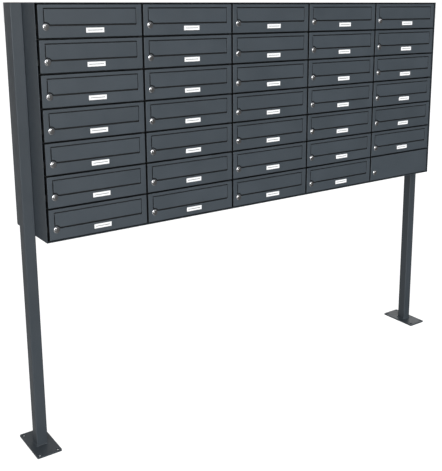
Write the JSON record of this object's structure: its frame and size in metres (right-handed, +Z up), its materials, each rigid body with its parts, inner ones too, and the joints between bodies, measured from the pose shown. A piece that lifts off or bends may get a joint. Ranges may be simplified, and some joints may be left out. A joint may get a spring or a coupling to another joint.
{
  "type": "cluster mailbox unit",
  "caption": "Free-standing cluster mailbox: wide anthracite steel casing of landscape letterboxes with flaps, nameplates and cam locks, between two square posts on base plates.",
  "frame": {"origin": "on the floor, under the centre of the overall box, base plates standing on z = 0", "axes": "+X along the front to the right as seen by a person facing the doors, +Y from front to back, +Z up"},
  "size_m": [1.994, 0.285, 1.56],
  "materials": {
    "anthracite_coat": "fine-textured satin powder coat, anthracite grey",
    "black_plastic": "matt",
    "zinc_plated_steel": "zinc-plated, satin",
    "lock_chrome": "polished nickel-chrome",
    "nameplate_white": "white card behind a clear cover"
  },
  "bodies": {
    "casing": {"base_plates": "anthracite_coat", "post_left": "anthracite_coat", "post_right": "anthracite_coat", "post_caps": "black_plastic", "post_bolts": "zinc_plated_steel", "side_panel_left": "anthracite_coat", "side_panel_right": "anthracite_coat", "back_panel": "anthracite_coat", "casing_rivets": "zinc_plated_steel", "roof_panel": "anthracite_coat", "floor_panel": "anthracite_coat", "dividers": "anthracite_coat", "shelves": "anthracite_coat", "hinge_pins": "anthracite_coat", "lock_keepers": "anthracite_coat"},
    "door_c1_r1": {"door_c1_r1": "anthracite_coat"},
    "flap_c1_r1": {"flap_c1_r1": "anthracite_coat"},
    "lock_plug_c1_r1": {"lock_plug_c1_r1": "lock_chrome", "lock_cam_c1_r1": "zinc_plated_steel"},
    "lock_dust_cap_c1_r1": {"lock_dust_cap_c1_r1": "lock_chrome"},
    "door_c1_r2": {"door_c1_r2": "anthracite_coat"},
    "flap_c1_r2": {"flap_c1_r2": "anthracite_coat"},
    "door_c1_r3": {"door_c1_r3": "anthracite_coat"},
    "flap_c1_r3": {"flap_c1_r3": "anthracite_coat"},
    "door_c1_r4": {"door_c1_r4": "anthracite_coat"},
    "flap_c1_r4": {"flap_c1_r4": "anthracite_coat"},
    "door_c1_r5": {"door_c1_r5": "anthracite_coat"},
    "flap_c1_r5": {"flap_c1_r5": "anthracite_coat"},
    "door_c1_r6": {"door_c1_r6": "anthracite_coat"},
    "flap_c1_r6": {"flap_c1_r6": "anthracite_coat"},
    "door_c1_r7": {"door_c1_r7": "anthracite_coat"},
    "flap_c1_r7": {"flap_c1_r7": "anthracite_coat"},
    "door_c2_r1": {"door_c2_r1": "anthracite_coat"},
    "door_c2_r2": {"door_c2_r2": "anthracite_coat"},
    "door_c2_r3": {"door_c2_r3": "anthracite_coat"},
    "door_c2_r4": {"door_c2_r4": "anthracite_coat"},
    "door_c2_r5": {"door_c2_r5": "anthracite_coat"},
    "door_c2_r6": {"door_c2_r6": "anthracite_coat"},
    "door_c2_r7": {"door_c2_r7": "anthracite_coat"},
    "door_c3_r1": {"door_c3_r1": "anthracite_coat"},
    "door_c3_r2": {"door_c3_r2": "anthracite_coat"},
    "door_c3_r3": {"door_c3_r3": "anthracite_coat"},
    "door_c3_r4": {"door_c3_r4": "anthracite_coat"},
    "door_c3_r5": {"door_c3_r5": "anthracite_coat"},
    "door_c3_r6": {"door_c3_r6": "anthracite_coat"},
    "door_c3_r7": {"door_c3_r7": "anthracite_coat"},
    "door_c4_r1": {"door_c4_r1": "anthracite_coat"},
    "door_c4_r2": {"door_c4_r2": "anthracite_coat"},
    "door_c4_r3": {"door_c4_r3": "anthracite_coat"},
    "door_c4_r4": {"door_c4_r4": "anthracite_coat"},
    "door_c4_r5": {"door_c4_r5": "anthracite_coat"},
    "door_c4_r6": {"door_c4_r6": "anthracite_coat"},
    "door_c4_r7": {"door_c4_r7": "anthracite_coat"},
    "door_c5_r1": {"door_c5_r1": "anthracite_coat"},
    "door_c5_r2": {"door_c5_r2": "anthracite_coat"},
    "door_c5_r3": {"door_c5_r3": "anthracite_coat"},
    "door_c5_r4": {"door_c5_r4": "anthracite_coat"},
    "door_c5_r5": {"door_c5_r5": "anthracite_coat"},
    "door_c5_r6": {"door_c5_r6": "anthracite_coat"},
    "blank_door_c5_r7": {"blank_door_c5_r7": "anthracite_coat"}
  },
  "joints": [
    {"name": "c1_r1_door_hinge", "type": "hinge", "parent": "casing", "child": "door_c1_r1", "pos_m": [-0.5645, -0.1305, 1.5015], "axis": [0, 0, 1], "range_deg": [0, 100]},
    {"name": "c1_r1_flap_hinge", "type": "hinge", "parent": "door_c1_r1", "child": "flap_c1_r1", "pos_m": [-0.74, -0.1355, 1.537], "axis": [-1, 0, 0], "range_deg": [0, 80]},
    {"name": "c1_r1_lock_turn", "type": "hinge", "parent": "door_c1_r1", "child": "lock_plug_c1_r1", "pos_m": [-0.897, -0.1385, 1.4835], "axis": [0, 1, 0], "range_deg": [0, 90]},
    {"name": "c1_r1_dust_cap_swing", "type": "hinge", "parent": "door_c1_r1", "child": "lock_dust_cap_c1_r1", "pos_m": [-0.897, -0.1416, 1.4899], "axis": [0, -1, 0], "range_deg": [0, 70]},
    {"name": "c1_r2_door_hinge", "type": "hinge", "parent": "casing", "child": "door_c1_r2", "pos_m": [-0.5645, -0.1305, 1.3915], "axis": [0, 0, 1], "range_deg": [0, 100]},
    {"name": "c1_r2_flap_hinge", "type": "hinge", "parent": "door_c1_r2", "child": "flap_c1_r2", "pos_m": [-0.74, -0.1355, 1.427], "axis": [-1, 0, 0], "range_deg": [0, 80]},
    {"name": "c1_r3_door_hinge", "type": "hinge", "parent": "casing", "child": "door_c1_r3", "pos_m": [-0.5645, -0.1305, 1.2815], "axis": [0, 0, 1], "range_deg": [0, 100]},
    {"name": "c1_r3_flap_hinge", "type": "hinge", "parent": "door_c1_r3", "child": "flap_c1_r3", "pos_m": [-0.74, -0.1355, 1.317], "axis": [-1, 0, 0], "range_deg": [0, 80]},
    {"name": "c1_r4_door_hinge", "type": "hinge", "parent": "casing", "child": "door_c1_r4", "pos_m": [-0.5645, -0.1305, 1.1715], "axis": [0, 0, 1], "range_deg": [0, 100]},
    {"name": "c1_r4_flap_hinge", "type": "hinge", "parent": "door_c1_r4", "child": "flap_c1_r4", "pos_m": [-0.74, -0.1355, 1.207], "axis": [-1, 0, 0], "range_deg": [0, 80]},
    {"name": "c1_r5_door_hinge", "type": "hinge", "parent": "casing", "child": "door_c1_r5", "pos_m": [-0.5645, -0.1305, 1.0615], "axis": [0, 0, 1], "range_deg": [0, 100]},
    {"name": "c1_r5_flap_hinge", "type": "hinge", "parent": "door_c1_r5", "child": "flap_c1_r5", "pos_m": [-0.74, -0.1355, 1.097], "axis": [-1, 0, 0], "range_deg": [0, 80]},
    {"name": "c1_r6_door_hinge", "type": "hinge", "parent": "casing", "child": "door_c1_r6", "pos_m": [-0.5645, -0.1305, 0.9515], "axis": [0, 0, 1], "range_deg": [0, 100]},
    {"name": "c1_r6_flap_hinge", "type": "hinge", "parent": "door_c1_r6", "child": "flap_c1_r6", "pos_m": [-0.74, -0.1355, 0.987], "axis": [-1, 0, 0], "range_deg": [0, 80]},
    {"name": "c1_r7_door_hinge", "type": "hinge", "parent": "casing", "child": "door_c1_r7", "pos_m": [-0.5645, -0.1305, 0.8415], "axis": [0, 0, 1], "range_deg": [0, 100]},
    {"name": "c1_r7_flap_hinge", "type": "hinge", "parent": "door_c1_r7", "child": "flap_c1_r7", "pos_m": [-0.74, -0.1355, 0.877], "axis": [-1, 0, 0], "range_deg": [0, 80]},
    {"name": "c2_r1_door_hinge", "type": "hinge", "parent": "casing", "child": "door_c2_r1", "pos_m": [-0.1945, -0.1305, 1.5015], "axis": [0, 0, 1], "range_deg": [0, 100]},
    {"name": "c2_r2_door_hinge", "type": "hinge", "parent": "casing", "child": "door_c2_r2", "pos_m": [-0.1945, -0.1305, 1.3915], "axis": [0, 0, 1], "range_deg": [0, 100]},
    {"name": "c2_r3_door_hinge", "type": "hinge", "parent": "casing", "child": "door_c2_r3", "pos_m": [-0.1945, -0.1305, 1.2815], "axis": [0, 0, 1], "range_deg": [0, 100]},
    {"name": "c2_r4_door_hinge", "type": "hinge", "parent": "casing", "child": "door_c2_r4", "pos_m": [-0.1945, -0.1305, 1.1715], "axis": [0, 0, 1], "range_deg": [0, 100]},
    {"name": "c2_r5_door_hinge", "type": "hinge", "parent": "casing", "child": "door_c2_r5", "pos_m": [-0.1945, -0.1305, 1.0615], "axis": [0, 0, 1], "range_deg": [0, 100]},
    {"name": "c2_r6_door_hinge", "type": "hinge", "parent": "casing", "child": "door_c2_r6", "pos_m": [-0.1945, -0.1305, 0.9515], "axis": [0, 0, 1], "range_deg": [0, 100]},
    {"name": "c2_r7_door_hinge", "type": "hinge", "parent": "casing", "child": "door_c2_r7", "pos_m": [-0.1945, -0.1305, 0.8415], "axis": [0, 0, 1], "range_deg": [0, 100]},
    {"name": "c3_r1_door_hinge", "type": "hinge", "parent": "casing", "child": "door_c3_r1", "pos_m": [0.1755, -0.1305, 1.5015], "axis": [0, 0, 1], "range_deg": [0, 100]},
    {"name": "c3_r2_door_hinge", "type": "hinge", "parent": "casing", "child": "door_c3_r2", "pos_m": [0.1755, -0.1305, 1.3915], "axis": [0, 0, 1], "range_deg": [0, 100]},
    {"name": "c3_r3_door_hinge", "type": "hinge", "parent": "casing", "child": "door_c3_r3", "pos_m": [0.1755, -0.1305, 1.2815], "axis": [0, 0, 1], "range_deg": [0, 100]},
    {"name": "c3_r4_door_hinge", "type": "hinge", "parent": "casing", "child": "door_c3_r4", "pos_m": [0.1755, -0.1305, 1.1715], "axis": [0, 0, 1], "range_deg": [0, 100]},
    {"name": "c3_r5_door_hinge", "type": "hinge", "parent": "casing", "child": "door_c3_r5", "pos_m": [0.1755, -0.1305, 1.0615], "axis": [0, 0, 1], "range_deg": [0, 100]},
    {"name": "c3_r6_door_hinge", "type": "hinge", "parent": "casing", "child": "door_c3_r6", "pos_m": [0.1755, -0.1305, 0.9515], "axis": [0, 0, 1], "range_deg": [0, 100]},
    {"name": "c3_r7_door_hinge", "type": "hinge", "parent": "casing", "child": "door_c3_r7", "pos_m": [0.1755, -0.1305, 0.8415], "axis": [0, 0, 1], "range_deg": [0, 100]},
    {"name": "c4_r1_door_hinge", "type": "hinge", "parent": "casing", "child": "door_c4_r1", "pos_m": [0.5455, -0.1305, 1.5015], "axis": [0, 0, 1], "range_deg": [0, 100]},
    {"name": "c4_r2_door_hinge", "type": "hinge", "parent": "casing", "child": "door_c4_r2", "pos_m": [0.5455, -0.1305, 1.3915], "axis": [0, 0, 1], "range_deg": [0, 100]},
    {"name": "c4_r3_door_hinge", "type": "hinge", "parent": "casing", "child": "door_c4_r3", "pos_m": [0.5455, -0.1305, 1.2815], "axis": [0, 0, 1], "range_deg": [0, 100]},
    {"name": "c4_r4_door_hinge", "type": "hinge", "parent": "casing", "child": "door_c4_r4", "pos_m": [0.5455, -0.1305, 1.1715], "axis": [0, 0, 1], "range_deg": [0, 100]},
    {"name": "c4_r5_door_hinge", "type": "hinge", "parent": "casing", "child": "door_c4_r5", "pos_m": [0.5455, -0.1305, 1.0615], "axis": [0, 0, 1], "range_deg": [0, 100]},
    {"name": "c4_r6_door_hinge", "type": "hinge", "parent": "casing", "child": "door_c4_r6", "pos_m": [0.5455, -0.1305, 0.9515], "axis": [0, 0, 1], "range_deg": [0, 100]},
    {"name": "c4_r7_door_hinge", "type": "hinge", "parent": "casing", "child": "door_c4_r7", "pos_m": [0.5455, -0.1305, 0.8415], "axis": [0, 0, 1], "range_deg": [0, 100]},
    {"name": "c5_r1_door_hinge", "type": "hinge", "parent": "casing", "child": "door_c5_r1", "pos_m": [0.9155, -0.1305, 1.5015], "axis": [0, 0, 1], "range_deg": [0, 100]},
    {"name": "c5_r2_door_hinge", "type": "hinge", "parent": "casing", "child": "door_c5_r2", "pos_m": [0.9155, -0.1305, 1.3915], "axis": [0, 0, 1], "range_deg": [0, 100]},
    {"name": "c5_r3_door_hinge", "type": "hinge", "parent": "casing", "child": "door_c5_r3", "pos_m": [0.9155, -0.1305, 1.2815], "axis": [0, 0, 1], "range_deg": [0, 100]},
    {"name": "c5_r4_door_hinge", "type": "hinge", "parent": "casing", "child": "door_c5_r4", "pos_m": [0.9155, -0.1305, 1.1715], "axis": [0, 0, 1], "range_deg": [0, 100]},
    {"name": "c5_r5_door_hinge", "type": "hinge", "parent": "casing", "child": "door_c5_r5", "pos_m": [0.9155, -0.1305, 1.0615], "axis": [0, 0, 1], "range_deg": [0, 100]},
    {"name": "c5_r6_door_hinge", "type": "hinge", "parent": "casing", "child": "door_c5_r6", "pos_m": [0.9155, -0.1305, 0.9515], "axis": [0, 0, 1], "range_deg": [0, 100]},
    {"name": "c5_r7_door_hinge", "type": "hinge", "parent": "casing", "child": "blank_door_c5_r7", "pos_m": [0.9155, -0.1305, 0.8415], "axis": [0, 0, 1], "range_deg": [0, 100]}
  ]
}
